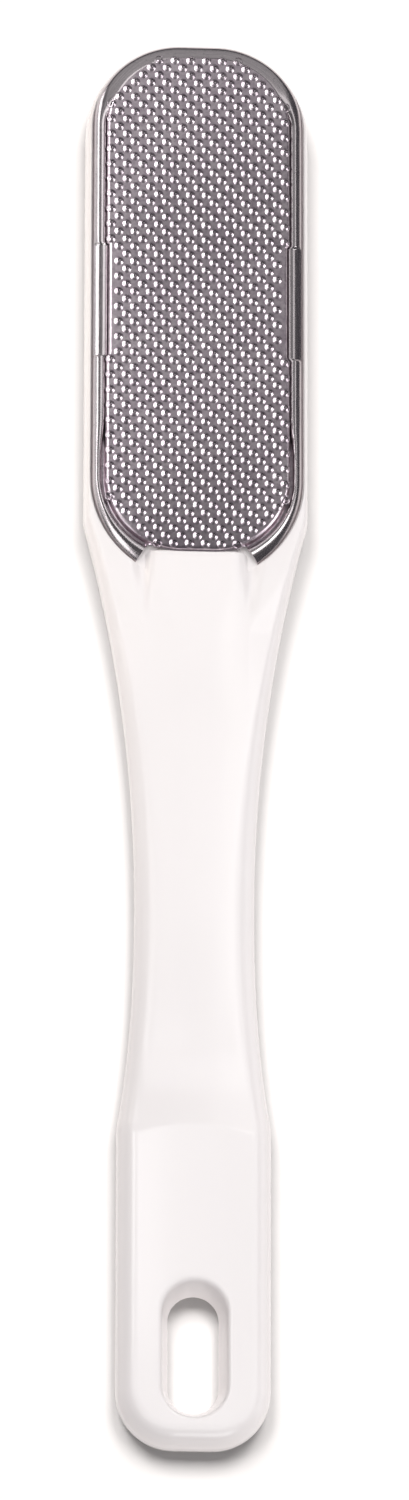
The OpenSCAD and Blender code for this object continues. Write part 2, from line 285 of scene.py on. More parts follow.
def rasp_steel():
    """Pierced sheet with a satin face: grain along the handle, clouds, mottle and dark specks."""
    f = Finish("rasp_steel", Metallic=1.0)
    grain = f.noise(1.0, 4.0, 0.6, f.stretched((900.0, 160.0, 900.0)))
    cloud = f.noise(90.0, 3.0)
    speck = f.noise(2300.0, 2.0, 0.5)
    mottle = f.noise(1100.0, 2.0, 0.6)
    tone = f.blend(f.remap(cloud, 0.35, 0.65), (0.66, 0.575, 0.625, 1), (0.75, 0.665, 0.705, 1))
    tone = f.blend(f.remap(mottle, 0.40, 0.65, 0.0, 0.7), tone, (0.50, 0.415, 0.475, 1))
    f.set("Base Color", f.blend(f.remap(speck, 0.55, 0.75, 0.0, 0.5), tone, (0.39, 0.345, 0.375, 1)))
    f.set("Roughness", 0.22 + 0.16 * grain)
    fine = f.bump(speck, 0.12, 0.00003, f.bump(mottle, 0.10, 0.00005))
    f.set("Normal", f.bump(grain, 0.10, 0.00004, fine))
    return f.material


def pierced_dark():
    """Painted shade: near-black dull steel for the inside of the burrs' mouths, for the shade in the holes.
    """
    f = Finish("pierced_dark", Metallic=0.6)
    cloud = f.noise(900.0, 2.0)
    f.set("Base Color", f.blend(cloud, (0.035, 0.030, 0.035, 1), (0.10, 0.09, 0.10, 1)))
    f.set("Roughness", 0.5 + 0.2 * cloud)
    f.set("Normal", f.bump(cloud, 0.2, 0.00004))
    return f.material


def drawn_steel():
    """Semi-bright strip, with streaks that follow its length, small dents and pits."""
    f = Finish("drawn_steel", Metallic=1.0)
    run = f.add("ShaderNodeAttribute", {"attribute_name": "run"}).out("Vector")
    along = f.add("ShaderNodeMapping", None, {"Vector": run, "Scale": (0.25, 34.0, 1.0)})
    streak = f.noise(1.0, 4.0, 0.6, along)
    dents = f.noise(260.0, 2.0)
    pits = f.noise(1500.0, 2.0)
    tone = f.blend(f.remap(streak, 0.35, 0.65), (0.48, 0.44, 0.455, 1), (0.66, 0.605, 0.615, 1))
    f.set("Base Color", f.blend(f.remap(pits, 0.6, 0.75, 0.0, 0.5), tone, (0.33, 0.31, 0.32, 1)))
    f.set("Roughness", 0.15 + 0.13 * streak)
    f.set("Normal", f.bump(dents, 0.16, 0.00012, f.bump(streak, 0.10, 0.00004)))
    return f.material


def emery_grit():
    """Dark fine grit, worn paler in patches."""
    f = Finish("emery_grit", Specular_IOR_Level=0.35)
    cells = f.add("ShaderNodeTexVoronoi", None, {"Vector": f.place, "Scale": 4200.0})
    tint = f.noise(3600.0, 1.0)
    wear = f.remap(f.noise(60.0, 3.0), 0.5, 0.7)
    base = f.blend(tint, (0.055, 0.050, 0.052, 1), (0.21, 0.20, 0.205, 1))
    f.set("Base Color", f.blend(wear * 0.35, base, (0.24, 0.225, 0.215, 1)))
    f.set("Roughness", 0.50 + 0.35 * cells)
    f.set("Normal", f.bump(1.0 - cells, 0.8, 0.00009))
    return f.material


def adhesive():
    """Yellowish film with a cloudy tone."""
    f = Finish("adhesive", Specular_IOR_Level=0.3)
    cloud = f.noise(400.0, 3.0)
    f.set("Base Color", f.blend(cloud, (0.56, 0.47, 0.30, 1), (0.68, 0.60, 0.44, 1)))
    f.set("Roughness", 0.55 + 0.2 * cloud)
    f.set("Normal", f.bump(cloud, 0.2, 0.00005))
    return f.material


# The third finish is painted shade, near black, for the inside of the burrs' holes
PLASTIC, RASP_STEEL, PAINTED_PIT_SHADE, DRAWN = moulded_plastic(), rasp_steel(), pierced_dark(), drawn_steel()
EMERY, ADHESIVE = emery_grit(), adhesive()


# Mesh helpers

def piece(name, points, faces, *finishes):
    """A piece from points in millimetres along the handle, set into the shared frame."""
    mesh = bpy.data.meshes.new(name)
    spots = (np.asarray(points, dtype=float) - (0, OVERALL / 2, 0)) * MM
    mesh.from_pydata(spots.tolist(), [], [list(map(int, face)) for face in faces])
    for finish in finishes:
        mesh.materials.append(finish)
    mesh.validate()
    thing = bpy.data.objects.new(name, mesh)
    bpy.context.scene.collection.objects.link(thing)
    return thing


# Edges sharper than this stay sharp in the shading, in degrees
SHELL_SHARP, SHEET_SHARP = 32.0, 40.0


def shade(thing, sharp):
    thing.data.shade_smooth()
    thing.data.set_sharp_from_angle(angle=math.radians(sharp))


def settle(thing, *helpers):
    """Turns the modifiers' result into the piece's own plain mesh and drops what only helped to make it."""
    bpy.context.view_layer.update()
    result = bpy.data.meshes.new_from_object(thing.evaluated_get(bpy.context.evaluated_depsgraph_get()))
    old = thing.data
    name = old.name
    thing.modifiers.clear()
    thing.data = result
    bpy.data.meshes.remove(old)
    # The old mesh has to be gone before its name is free
    result.name = name
    for helper in helpers:
        mesh = helper.data
        bpy.data.objects.remove(helper)
        bpy.data.meshes.remove(mesh)
    return thing


def cut(thing, *cutters):
    """Takes the cutters away from a piece."""
    for cutter in cutters:
        knife = thing.modifiers.new("cut", "BOOLEAN")
        knife.operation, knife.solver, knife.object = "DIFFERENCE", "EXACT", cutter
    return settle(thing, *cutters)


def loft(name, contours, *finishes):
    """A closed solid through contours of as many points each, counterclockwise and from low to high."""
    count = len(contours[0])
    points = [point for contour in contours for point in contour]
    faces = [list(range(count))[::-1], [(len(contours) - 1) * count + n for n in range(count)]]
    for k in range(len(contours) - 1):
        a, b = k * count, (k + 1) * count
        faces += [(a + n, a + (n + 1) % count, b + (n + 1) % count, b + n) for n in range(count)]
    return piece(name, points, faces, *finishes)


def arc(cx, cy, radius, start, end, count):
    """Points on a circle from one angle to another, in degrees."""
    turn = np.radians(np.linspace(start, end, count))
    return [(cx + radius * math.cos(t), cy + radius * math.sin(t)) for t in turn]


def rounded_outline(width, y0, y1, radius, count=24):
    x = width / 2 - radius
    return (arc(-x, y0 + radius, radius, 180, 270, count) + arc(x, y0 + radius, radius, 270, 360, count)
            + arc(x, y1 - radius, radius, 0, 90, count) + arc(-x, y1 - radius, radius, 90, 180, count))


# Shells

# Shares of the rounded edge's width where its rings lie, and the small bevel at the parting line
RING_SHARES = [0, 0.003, 0.010, 0.025, 0.05, 0.09, 0.14, 0.21, 0.30, 0.41, 0.54, 0.68, 0.84, 1.0]
SEAM_INSET, SEAM_H = 0.07, 0.10


def handle_outline(rows):
    """Right half of the outline with its inward directions, from the grip's end to the head's tip."""
    low = np.radians(np.linspace(0, 90, 25))[:-1]
    high = np.radians(np.linspace(0, 90, 29))[1:]
    near = 0.01
    slope = (half_width(rows + near) - half_width(rows - near)) / (2 * near)
    length = np.hypot(1, slope)
    x = [GRIP_W / 2 - GRIP_END_R * (1 - np.sin(low)), half_width(rows),
         HEAD_W / 2 - HEAD_R * (1 - np.cos(high))]
    y = [GRIP_END_R * (1 - np.cos(low)), rows, HEAD_TIP - HEAD_R * (1 - np.sin(high))]
    nx = [-np.sin(low), -1 / length, -np.cos(high)]
    ny = [np.cos(low), slope / length, -np.sin(high)]
    return [np.concatenate(part) for part in (x, y, nx, ny)]


def shell_body(name, rows, columns, face_height, up):
    """One shell as a closed body: rings from the parting plane over the rounded edge, and a grid on its face.
    columns gives the grid's places across, as shares, and face_height its height over the parting plane.
    up is 1 for the front and -1 for the back."""
    x, y, nx, ny = handle_outline(rows)
    depth = rounding(y)
    cap_x, cap_y = x + nx * depth, y + ny * depth
    shares = np.array([columns(width) for width in cap_x])
    count, across = len(x), shares.shape[1]
    face_x = cap_x[:, None] * shares
    face_y = np.repeat(cap_y[:, None], across, 1)
    face_z = face_height(face_x, face_y)

    def loop(inset, rise, lift=0.0):
        """A ring round the shell, so far in from the outline and so far up to the face."""
        rx, ry = x + nx * inset, y + ny * inset
        right = np.c_[rx, ry, face_z[:, 0] * rise + lift]
        left = np.c_[-rx, ry, face_z[:, -1] * rise + lift][::-1]
        top = np.c_[rx[-1] * shares[-1], np.full(across, ry[-1]), face_z[-1] * rise + lift][1:-1]
        bottom = np.c_[rx[0] * shares[0], np.full(across, ry[0]), face_z[0] * rise + lift][::-1][1:-1]
        return np.concatenate([right, top, left, bottom])

    rings = [loop(np.full(count, SEAM_INSET), 0.0), loop(np.zeros(count), 0.0, SEAM_H)]
    rings += [loop(depth * share, edge_rise(share)) for share in RING_SHARES[1:]]
    size = len(rings[0])
    inner = np.stack([face_x, face_y, face_z], 2)[1:-1, 1:-1].reshape(-1, 3)
    points = np.concatenate(rings + [inner])
    points[:, 2] = PART_Z + up * points[:, 2]

    last = (len(rings) - 1) * size

    def spot(i, j):
        """The grid's point in row i and column j: its border is the last ring."""
        if j == 0:
            return last + i
        if j == across - 1:
            return last + 2 * count + across - 3 - i
        if i == 0:
            return last + size - j
        if i == count - 1:
            return last + count - 1 + j
        return len(rings) * size + (i - 1) * (across - 2) + j - 1

    faces = [list(range(size))[::-1]]
    for k in range(len(rings) - 1):
        a, b = k * size, (k + 1) * size
        faces += [(a + n, a + (n + 1) % size, b + (n + 1) % size, b + n) for n in range(size)]
    faces += [(spot(i, j), spot(i + 1, j), spot(i + 1, j + 1), spot(i, j + 1))
              for i in range(count - 1) for j in range(across - 1)]
    if up < 0:
        faces = [face[::-1] for face in faces]
    return piece(name, points, faces, PLASTIC)


# The pad of the grip ends in an arched crease, highest in its middle, and pad and neck are crowned
ARCH, ARCH_POWER, ARCH_Y0, ARCH_Y1 = 3.0, 2.2, 62, 92
PAD_CROWN, NECK_CROWN, CROWN_SWITCH, CROWN_Y0, CROWN_Y1 = 0.32, 0.35, 16, 120, 148


def handle_face(x, y, relief):
    """Height of a face over the parting plane."""
    u = np.abs(x) / half_width(y)
    arched = y + ARCH * u ** ARCH_POWER * (1 - smooth(between(y, ARCH_Y0, ARCH_Y1)))
    z = mix(GRIP_T / 2, NECK_T / 2, neck_share(arched))
    crown = mix(PAD_CROWN * u ** 4, NECK_CROWN * u ** 2, smooth(between(y, GRIP_L, GRIP_L + CROWN_SWITCH)))
    crown = crown * (1 - smooth(between(y, CROWN_Y0, CROWN_Y1)))
    return z - crown - relief * between(y, NECK_Y, SHOULDER_Y)


# The flat of the head ends in a slanted crease on each shoulder
CREASE_Y0, CREASE_Y1, CREASE_X, CREASE_SLANT, CREASE_FALL = 130, 147, 9.3, 0.62, 0.14
# A groove on both sides of the tongue leads down from the frame's cut ends
GROOVE_Y0, GROOVE_Y1, GROOVE_DEPTH, GROOVE_POWER = 145, 158, 0.8, 2.3
GROOVE_X0, GROOVE_X1, GROOVE_INNER_L, GROOVE_OUTER_L = 8.1, 10.7, 1.5, 2.4
SPREAD_Y0, SPREAD_Y1, GROOVE_SPREAD = 147.5, 160, 1.5
# The tongue starts a little sunk, blends into the neck, and ends in a seat for the plate's lower end
TONGUE_SINK, TONGUE_BLEND, TONGUE_START_L, TONGUE_LAND = 0.1, 0.06, 4, 1.3
FLANK_Y0, FLANK_Y1, FLANK_LOW_W, FLANK_HIGH_W = 143, 157, 6.8, 2.4
SEAT_DEPTH, SEAT_Y, SEAT_RAMP = 0.15, PLATE_Y0 - 0.4, 0.3


def front_face(x, y):
    """Height of the front's face over the parting plane, with its creases, grooves and tongue."""
    side = np.abs(x)
    z = handle_face(x, y, 0)
    crease = CREASE_X + CREASE_SLANT * np.maximum(y - CREASE_Y1, 0)
    z = z - CREASE_FALL * np.maximum(side - crease, 0) * smooth(between(y, CREASE_Y0, CREASE_Y1))
    outer = GROOVE_X1 + GROOVE_SPREAD * between(y, SPREAD_Y0, SPREAD_Y1)
    groove = smooth((side - GROOVE_X0) / GROOVE_INNER_L) * smooth((outer - side) / GROOVE_OUTER_L)
    z = z - GROOVE_DEPTH * between(y, GROOVE_Y0, GROOVE_Y1) ** GROOVE_POWER * groove
    foot = float(handle_face(np.zeros(1), np.full(1, TONGUE_Y), 0)[0]) - TONGUE_SINK
    top = mix(foot, FACE_Z - PART_Z + TONGUE_RISE, between(y, TONGUE_Y, PLATE_Y0 - TONGUE_LAND))
    over = top - z
    rise = (over + np.sqrt(over ** 2 + TONGUE_BLEND ** 2)) / 2 * smooth((y - TONGUE_Y) / TONGUE_START_L + 1)
    flank = mix(FLANK_HIGH_W, FLANK_LOW_W, smooth(between(y, FLANK_Y1, FLANK_Y0)))
    z = z + rise * smooth((TONGUE_SIDE - side) / flank)
    return z - SEAT_DEPTH * clamp((y - SEAT_Y) / SEAT_RAMP) ** 2 * (side < TONGUE_SIDE)


# The tongue's flank reaches so far in and out from its side, which is at most this share of the half width
FLANK_IN, FLANK_OUT, TONGUE_SHARE = 1.6, 1.7, 0.72


def front_columns(width):
    """Places across the front, as shares, close together on the tongue's flanks."""
    tongue = min(TONGUE_SIDE, TONGUE_SHARE * width)
    unit = tongue / TONGUE_SIDE
    inner, outer = tongue - FLANK_IN * unit, tongue + FLANK_OUT * unit
    half = steps(0.0, (inner, inner / 9), (tongue, FLANK_IN / 8 * unit), (outer, FLANK_OUT / 8 * unit),
                 (width, (width - outer) / 9)) / width
    return np.concatenate([half[::-1], -half[1:]])


def rear_columns(width):
    """The plain back has even places across, whatever its width."""
    return np.linspace(1, -1, 27)


# Height over the parting plane and growth of the slot: a throat, a slope, and a rim that is rounded over
SLOT_THROAT = [(-0.4, 0.06), (0.0, 0.06), (0.09, 0.0)]
SLOT_SLOPE_H = [1.0, 2.5, 4.2]
SLOT_RIM = [(4.45, 1.32), (4.65, 1.43), (4.80, 1.56), (4.91, 1.73), (4.975, 1.95), (5.02, 2.25), (5.6, 3.0)]
# The slope reaches further towards the head, by this share of its growth
SLOT_REACH = 0.4


def slot_cutter(name, up):
    """What the slot takes away from one shell."""
    contours = []
    slope = [(h, SLOT_FLARE * h / (GRIP_T / 2)) for h in SLOT_SLOPE_H]
    for h, grow in SLOT_THROAT + slope + SLOT_RIM:
        r = SLOT_W / 2 + grow
        low, high = SLOT_END + SLOT_W / 2, SLOT_END + SLOT_L - SLOT_W / 2 + SLOT_REACH * grow
        flat = arc(0, low, r, 180, 360, 41) + arc(0, high, r, 0, 180, 41)
        contours.append([(px, py, PART_Z + up * h) for px, py in flat])
    return loft(name, contours if up > 0 else contours[::-1], PLASTIC)


# Height and growth of the trough, whose upper edge is broken, and how it stops at the tongue
TROUGH_WALL = [(TROUGH_Z, 0), (9.45, 0.01), (9.85, 0.03), (9.94, 0.06), (10.0, 0.14), (12.5, 1.0)]
NOTCH_X, NOTCH_Y, NOTCH_R = TONGUE_SIDE + 0.05, PLATE_Y0 - 0.1, 1.2


def trough_cutter():
    """The seat of the frame and the plate, left open round the tongue."""
    x, y, centre = FRAME_W / 2 - FRAME_R, FRAME_TOP - FRAME_R, NOTCH_X - NOTCH_R
    contours = []
    for z, grow in TROUGH_WALL:
        r, tip = FRAME_W / 2 + TROUGH_GAP + grow, FRAME_R + TROUGH_GAP + grow
        low = -math.degrees(math.acos(NOTCH_X / r))
        flat = arc(0, FRAME_END_Y, r, low, 0, 40) + arc(x, y, tip, 0, 90, 36)
        flat += arc(-x, y, tip, 90, 180, 36) + arc(0, FRAME_END_Y, r, 180, 180 - low, 40)
        flat += arc(-centre, NOTCH_Y - NOTCH_R, NOTCH_R, 180, 90, 8)
        flat += arc(centre, NOTCH_Y - NOTCH_R, NOTCH_R, 90, 0, 8)
        contours.append([(px, py, z) for px, py in flat])
    return loft("trough_cutter", contours, PLASTIC)


def recess_cutter():
    """The recess of the emery cloth and its film in the back."""
    half = EMERY_L / 2 + EMERY_GAP
    flat = rounded_outline(EMERY_W + 2 * EMERY_GAP, EMERY_MID - half, EMERY_MID + half, EMERY_R + EMERY_GAP)
    contours = [[(px, py, z) for px, py in flat] for z in (-1.0, EMERY_T + FILM_T)]
    return loft("recess_cutter", contours, PLASTIC)


# Rows along the shells: each stretch ends at a place and has its own step
front_rows = steps(GRIP_END_R, (48, 1.2), (76, 0.5), (124, 1.0), (158, 0.4), (160.5, 0.25), (161.6, 0.1),
                   (SHOULDER_Y, 0.6), (HEAD_TIP - HEAD_R, 3.0))
rear_rows = steps(GRIP_END_R, (48, 1.6), (76, 0.6), (SHOULDER_Y, 1.4), (HEAD_TIP - HEAD_R, 4.0))
front_shell = shell_body("front_shell_moulding", front_rows, front_columns, front_face, 1)
cut(front_shell, slot_cutter("slot_cutter_front", 1), trough_cutter())
rear_shell = shell_body("rear_shell_moulding", rear_rows, rear_columns,
                        lambda x, y: handle_face(x, y, BACK_RELIEF), -1)
cut(rear_shell, slot_cutter("slot_cutter_rear", -1), recess_cutter())
shade(front_shell, SHELL_SHARP)
shade(rear_shell, SHELL_SHARP)


# Geometry node trees

class Tree(Wiring):
    """A Geometry Nodes tree with named inputs."""

    def __init__(self, name, **inputs):
        super().__init__(bpy.data.node_groups.new(name, "GeometryNodeTree"))
        face = self.tree.interface
        face.new_socket("Geometry", in_out="OUTPUT", socket_type="NodeSocketGeometry")
        face.new_socket("Geometry", in_out="INPUT", socket_type="NodeSocketGeometry")
        for label, kind in inputs.items():
            face.new_socket(label, in_out="INPUT", socket_type="NodeSocket" + kind)
        self.entry = self.add("NodeGroupInput")

    def given(self, label):
        return self.entry.out(label)

    def shape(self, label):
        """The geometry of a given object."""
        source = {"Object": self.given(label)}
        return self.add("GeometryNodeObjectInfo", {"transform_space": "ORIGINAL"}, source).out("Geometry")

    def vector(self, *terms):
        return self.add("ShaderNodeCombineXYZ", None, terms)

    def random(self, low, high, seed):
        """A number for each point, between two bounds."""
        bounds = {2: low, 3: high, "Seed": seed}
        return self.add("FunctionNodeRandomValue", {"data_type": "FLOAT"}, bounds, out=1)

    def scatter(self, points, label, spin, size):
        """Real copies of a given object on points, together with the piece that carries them."""
        copies = self.add("GeometryNodeInstanceOnPoints", None, {
            "Points": points, "Instance": self.shape(label), "Rotation": spin, "Scale": size})
        real = self.add("GeometryNodeRealizeInstances", None, {"Geometry": copies})
        joined = self.add("GeometryNodeJoinGeometry")
        for part in (real, self.given("Geometry")):
            self.tree.links.new(part.socket, joined.socket.node.inputs[0])
        return joined

    def position(self, source, index, attribute=None):
        """The place, or a stored attribute, of one point of another geometry."""
        if attribute is None:
            kind, field = "FLOAT_VECTOR", self.add("GeometryNodeInputPosition")
        else:
            kind = "FLOAT"
            field = self.add("GeometryNodeInputNamedAttribute", {"data_type": kind}, {"Name": attribute})
        sampled = {"Geometry": source, "Index": index, "Value": field}
        return self.add("GeometryNodeSampleIndex", {"data_type": kind, "domain": "POINT"}, sampled)

    def split(self, vector):
        parts = self.add("ShaderNodeSeparateXYZ", None, {0: vector})
        return parts.out("X"), parts.out("Y"), parts.out("Z")

    def finish(self, geometry):
        self.add("NodeGroupOutput", None, {"Geometry": geometry})

    def use(self, thing, **values):
        """Puts the tree on a piece, with its inputs set by their identifiers."""
        modifier = thing.modifiers.new(self.tree.name, "NODES")
        modifier.node_group = self.tree
        for item in self.tree.interface.items_tree:
            if item.in_out == "INPUT" and item.name in values:
                modifier[item.identifier] = values[item.name]
        return thing


def strip_tree():
    """A closed section swept between two rails. Its shares run from the inner rail to the outer one, and from
    the inner rail's height up to the outer rail's."""
    t = Tree("bent_strip", inner_rail="Object", outer_rail="Object", end_section="Object",
             side_section="Object", tip_section="Object", stations="Int", section_points="Int",
             finish="Material")
    inner, outer = t.shape("inner_rail"), t.shape("outer_rail")
    sections = [t.shape(name) for name in ("end_section", "side_section", "tip_section")]
    points = t.given("section_points")
    # Each station has one point more than the section, which is welded to the first
    row = points + 1.0
    grid = t.add("GeometryNodeMeshGrid", None, {"Vertices X": t.given("stations"), "Vertices Y": row})
    index = t.add("GeometryNodeInputIndex")
    station = ((index + 0.5) / row).floor()
    place = (index - station * row) % points
    ix, iy, iz = t.split(t.position(inner, station))
    ox, oy, oz = t.split(t.position(outer, station))
    flat, closed = t.position(inner, station, "flat"), t.position(inner, station, "closed")
    across, upward = zip(*(t.split(t.position(section, place))[:2] for section in sections))
    # The sections were set down in millimetres, and count in shares
    share, rise = (1 / MM * (end + (side - end) * flat + (tip - side) * closed)
                   for end, side, tip in (across, upward))
    # Where the strip is pinched, its crest moves in
    lean = t.position(inner, station, "lean")
    moved = share - lean * share * (1.0 - share) * 4.0
    spot = t.vector(ix + (ox - ix) * moved, iy + (oy - iy) * moved, iz + (oz - iz) * rise)
    swept = t.add("GeometryNodeSetPosition", None, {"Geometry": grid, "Position": spot})
    run = t.vector(t.position(inner, station, "run"), share, rise)
    named = t.add("GeometryNodeStoreNamedAttribute", {"data_type": "FLOAT_VECTOR", "domain": "POINT"},
                  {"Geometry": swept, "Name": "run", "Value": run})
    welded = t.add("GeometryNodeMergeByDistance", None, {"Geometry": named, "Distance": 1e-6})
    real = t.add("GeometryNodeRealizeInstances", None, {"Geometry": welded})
    t.finish(t.add("GeometryNodeSetMaterial", None, {"Geometry": real, "Material": t.given("finish")}))
    return t


def burr_tree():
    """Burrs in diagonal rows over a plate, wherever one fits inside the field."""
    t = Tree("burr_field", burr="Object", pitch="Float", half_width="Float", half_length="Float",
             corner_sum="Float", pinch_half="Float", pinched_width="Float", centre="Vector", count="Int",
             turn="Float", spread="Float", seed="Int", steel="Material", dark="Material")
    count, turn, spread, seed = (t.given(label) for label in ("count", "turn", "spread", "seed"))
    side = (count - 1.0) * t.given("pitch")
    grid = t.add("GeometryNodeMeshGrid", None, {"Size X": side, "Size Y": side, "Vertices X": count,
                                                "Vertices Y": count})
    turned = t.add("GeometryNodeTransform", None, {"Geometry": grid, "Rotation": (0.0, 0.0, math.pi / 4)})
    x, y, _ = t.split(t.add("GeometryNodeInputPosition"))
    x, y = abs(x), abs(y)
    outside = (x > t.given("half_width")) + (y > t.given("half_length")) + (x + y > t.given("corner_sum"))
    outside = outside + (x > t.given("pinched_width")) * (y < t.given("pinch_half"))
    dropped = {"Geometry": turned, "Selection": outside > 0.5}
    kept = t.add("GeometryNodeDeleteGeometry", {"domain": "POINT"}, dropped)
    placed = t.add("GeometryNodeSetPosition", None, {"Geometry": kept, "Offset": t.given("centre")})
    spin = t.random(turn * -1.0, turn, seed)
    size = t.random(1.0 - spread, 1.0 + spread, seed + 1.0)
    joined = t.scatter(placed, "burr", t.vector(0.0, 0.0, spin), t.vector(size, size, 1.0))
    steel = t.add("GeometryNodeSetMaterial", None, {"Geometry": joined, "Material": t.given("steel")})
    # The pit faces take the dark finish: painted shade for the inside of the holes
    pit = t.add("GeometryNodeInputNamedAttribute", {"data_type": "BOOLEAN"}, {"Name": "pit"})
    dark = {"Geometry": steel, "Selection": pit, "Material": t.given("dark")}
    t.finish(t.add("GeometryNodeSetMaterial", None, dark))
    return t


def grit_tree():
    """Coarse grains scattered over a sheet's face, turned any way."""
    t = Tree("grit", grain="Object", density="Float", seed="Int", any_turn="Float", smallest="Float",
             finish="Material")
    seed, turn = t.given("seed"), t.given("any_turn")
    face = t.add("GeometryNodeInputNamedAttribute", {"data_type": "BOOLEAN"}, {"Name": "gritted"})
    points = t.add("GeometryNodeDistributePointsOnFaces", {"distribute_method": "RANDOM"}, {
        "Mesh": t.given("Geometry"), "Selection": face, "Density": t.given("density"), "Seed": seed})
    spin = t.add("FunctionNodeRandomValue", {"data_type": "FLOAT_VECTOR"}, {1: t.vector(turn, turn, turn),
                                                                            "Seed": seed})
    size = t.random(t.given("smallest"), 1.0, seed + 1.0)
    joined = t.scatter(points, "grain", spin, t.vector(size, size, size))
    t.finish(t.add("GeometryNodeSetMaterial", None, {"Geometry": joined, "Material": t.given("finish")}))
    return t


# Frame

# Rows along the sides of plate and frame, which lie close together where the sides step in and out
ROW, FINE_ROW, STEP_NEAR = 1.5, 0.1, 0.4


def pinch(y):
    """How far the sides are drawn in, as a share, at a place along the handle."""
    away = np.abs(np.asarray(y, dtype=float) - PLATE_MID)
    return smooth((PINCH_L / 2 + PINCH_RAMP / 2 - away) / PINCH_RAMP)


def side_rows(start, end):
    low, high = PLATE_MID - PINCH_L / 2, PLATE_MID + PINCH_L / 2
    return steps(start, (low - STEP_NEAR, ROW), (low + STEP_NEAR, FINE_ROW), (high - STEP_NEAR, ROW),
                 (high + STEP_NEAR, FINE_ROW), (end, ROW))


def rail(name, points, **numbers):
    """A row of points that carry numbers for the strip."""
    thing = piece(name, points, [])
    for label, row in numbers.items():
        attribute = thing.data.attributes.new(label, "FLOAT", "POINT")
        attribute.data.foreach_set("value", np.asarray(row, dtype=float))
    return thing


# Along the sides the strip closes up to the plate: from where, over what length, how far it takes on the form
# of the sides, and how far it moves in
FLAT_Y, FLAT_RAMP, FLAT_SHARE, FLAT_IN = 178, 8.0, 0.8, 0.50
# Round the tip it runs on from the plate in one slope: over what length, and how far it moves in
CLOSED_RAMP, CLOSED_IN = 7.0, 0.65
# Where the sides are drawn in, its crest is lower and nearer to the plate, beyond a distance from the middle
PINCH_SINK, PINCH_LEAN, BESIDE_X = 0.22, 0.03, 14
TONGUE_GAP, TIP_GAP = 0.1, 0.3


def frame_rails():
    """The strip's inner and outer rail, from one cut end round the tip to the other."""
    width, radius = PLATE_W + 2 * FLANGE_SHOW, PLATE_R + FLANGE_SHOW
    first = math.degrees(math.asin((TONGUE_W / 2 + TONGUE_GAP - width / 2 + radius) / radius))
    a, b, c = (np.radians(np.linspace(start, 90, 49)) for start in (first, FRAME_CUT, 0))
    side = side_rows(FRAME_END_Y, FRAME_TOP - FRAME_R - TIP_GAP)[1:]
    inner = [np.c_[width / 2 - radius * (1 - np.sin(a)), PLATE_Y0 - FLANGE_SHOW + radius * (1 - np.cos(a))],
             np.c_[width / 2 - PINCH_D * pinch(side), side],
             np.c_[width / 2 - radius * (1 - np.cos(c)), PLATE_Y1 + FLANGE_SHOW - radius * (1 - np.sin(c))]]
    outer = [np.c_[FRAME_W / 2 * np.sin(b), FRAME_END_Y - FRAME_W / 2 * np.cos(b)],
             np.c_[np.full(len(side), FRAME_W / 2), side],
             np.c_[FRAME_W / 2 - FRAME_R * (1 - np.cos(c)), FRAME_TOP - FRAME_R * (1 - np.sin(c))]]
    inner, outer = np.concatenate(inner), np.concatenate(outer)
    inner, outer = (np.concatenate([half, (half * (-1, 1))[::-1]]) for half in (inner, outer))
    run = np.concatenate([[0], np.cumsum(np.hypot(*np.diff(inner, axis=0).T))])
    tight = pinch(inner[:, 1]) * (np.abs(inner[:, 0]) > BESIDE_X)
    closed = smooth((inner[:, 1] - TIP_Y) / CLOSED_RAMP)
    flat = FLAT_SHARE * smooth((inner[:, 1] - FLAT_Y) / FLAT_RAMP) + (1 - FLAT_SHARE) * closed
    # Inward is straight across along the sides, and towards the corner's centre round the tip
    inward = np.c_[inner[:, 0], np.maximum(inner[:, 1] - (PLATE_Y1 - PLATE_R), 0)]
    inward[:, 0] -= np.sign(inner[:, 0]) * np.minimum(np.abs(inner[:, 0]), PLATE_W / 2 - PLATE_R)
    inward /= np.maximum(np.hypot(*inward.T), 1e-6)[:, None]
    inner = inner - inward * (FLAT_IN * flat + CLOSED_IN * closed)[:, None]
    inner_rail = rail("inner_rail", np.c_[inner, np.full(len(inner), FLANGE_TOP)], run=run,
                      lean=PINCH_LEAN * tight, flat=flat, closed=closed)
    outer_rail = rail("outer_rail", np.c_[outer, CREST_Z - PINCH_SINK * tight])
    return inner_rail, outer_rail, len(inner)


# Sections of the strip near its cut ends, along the sides and round the tip, as shares of width and height
OUTER_SLOPE = [(0.38, 0.99), (0.46, 0.955), (0.54, 0.89), (0.62, 0.80), (0.70, 0.68), (0.78, 0.54),
               (0.86, 0.37), (0.93, 0.19), (0.98, 0.04), (1.0, -0.307), (0.80, -0.307), (0.74, 0.10),
               (0.64, 0.38), (0.54, 0.56), (0.42, 0.67)]
STRIP_SECTIONS = {
    "end_section": [(0.00, 0.00), (0.012, 0.16), (0.04, 0.42), (0.09, 0.68), (0.15, 0.86), (0.22, 0.96),
                    (0.30, 1.0), *OUTER_SLOPE, (0.32, 0.66), (0.25, 0.53), (0.20, 0.32), (0.19, 0.0)],
    "side_section": [(0.00, 0.88), (0.01, 0.91), (0.04, 0.935), (0.09, 0.95), (0.15, 0.965), (0.22, 0.985),
                     (0.30, 1.0), *OUTER_SLOPE, (0.32, 0.68), (0.20, 0.66), (0.10, 0.64), (0.0, 0.62)],
    "tip_section": [(0.00, 1.36), (0.01, 1.39), (0.04, 1.40), (0.09, 1.39), (0.15, 1.37), (0.22, 1.335),
                    (0.30, 1.295), (0.38, 1.255), (0.46, 1.21), (0.54, 1.165), (0.62, 1.115), (0.70, 1.06),
                    (0.78, 0.99), (0.86, 0.87), (0.93, 0.68), (0.98, 0.38), (1.0, -0.62), (0.80, -0.307),
                    (0.74, 0.40), (0.64, 0.72), (0.54, 0.84), (0.42, 0.94), (0.32, 1.03), (0.28, 1.12),
                    (0.14, 1.24), (0.04, 1.32)]}


